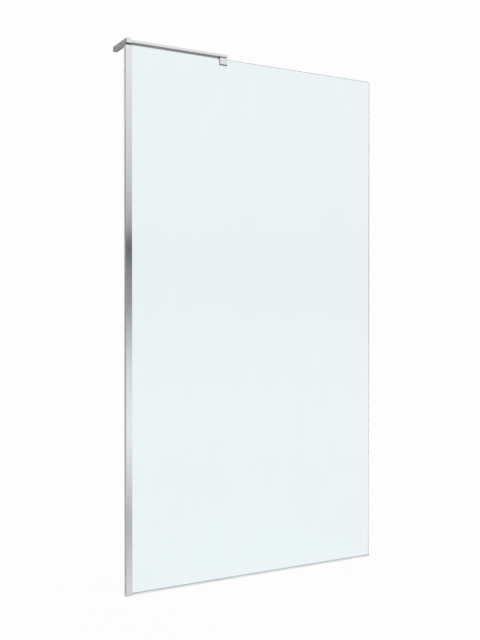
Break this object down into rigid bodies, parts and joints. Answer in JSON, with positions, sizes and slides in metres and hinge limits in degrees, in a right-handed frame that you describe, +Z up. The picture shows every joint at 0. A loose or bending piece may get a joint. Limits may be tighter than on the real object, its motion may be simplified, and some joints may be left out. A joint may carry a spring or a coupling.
{
  "type": "shower screen",
  "caption": "Walk-in shower screen: a clear glass panel in an adjustable wall profile, steadied along its top edge by an L-shaped support arm and a glass clamp.",
  "frame": {"origin": "on the wall, at the foot of the screen, in the middle of the glass thickness", "axes": "+X from the wall to the free edge of the glass, +Y into the shower, square to the glass, +Z up"},
  "size_m": [1.1, 0.136, 2.0195],
  "materials": {
    "polished_profile": "bright polished, chrome-look anodised aluminium",
    "chrome": "mirror chrome plate",
    "carrier_aluminium": "satin anodised",
    "screw_steel": "stainless steel",
    "clear_glass": "clear toughened glass, faintly green, with polished edges",
    "gasket_rubber": "matt grey rubber",
    "seal_plastic": "translucent soft plastic",
    "cap_plastic": "dark grey moulded plastic",
    "packer_plastic": "hard white plastic"
  },
  "bodies": {
    "wall_frame": {"wall_profile": "polished_profile", "profile_top_cap": "cap_plastic", "profile_lock_screws": "screw_steel", "wall_seal_strips": "gasket_rubber", "wall_bar": "chrome", "support_arm": "chrome", "arm_joint_screws": "screw_steel", "clamp_body": "chrome", "clamp_fixing_screws": "screw_steel", "clamp_front_pad": "gasket_rubber"},
    "panel": {"glass_carrier": "carrier_aluminium", "front_glazing_gasket": "gasket_rubber", "rear_glazing_gasket": "gasket_rubber", "glass_edge_blocks": "packer_plastic", "glass_panel": "clear_glass", "bottom_seal": "seal_plastic", "glass_packers": "packer_plastic"},
    "grip": {"clamp_pressure_plate": "screw_steel", "clamp_rear_pad": "gasket_rubber"},
    "set_screw": {"clamp_set_screw": "screw_steel"}
  },
  "joints": [
    {"name": "width_adjust", "type": "slide", "parent": "wall_frame", "child": "panel", "axis": [1, 0, 0], "range_m": [0, 0.01]},
    {"name": "clamp_grip", "type": "slide", "parent": "wall_frame", "child": "grip", "axis": [0, 1, 0], "range_m": [0, 0.002]},
    {"name": "set_screw_turn", "type": "hinge", "parent": "grip", "child": "set_screw", "pos_m": [0.3975, 0.0131, 1.99], "axis": [0, 1, 0], "range_deg": [0, 720]}
  ],
  "couplings": [
    {"joint": "set_screw_turn", "follows": "clamp_grip", "rad_per_m": 6283.2}
  ]
}
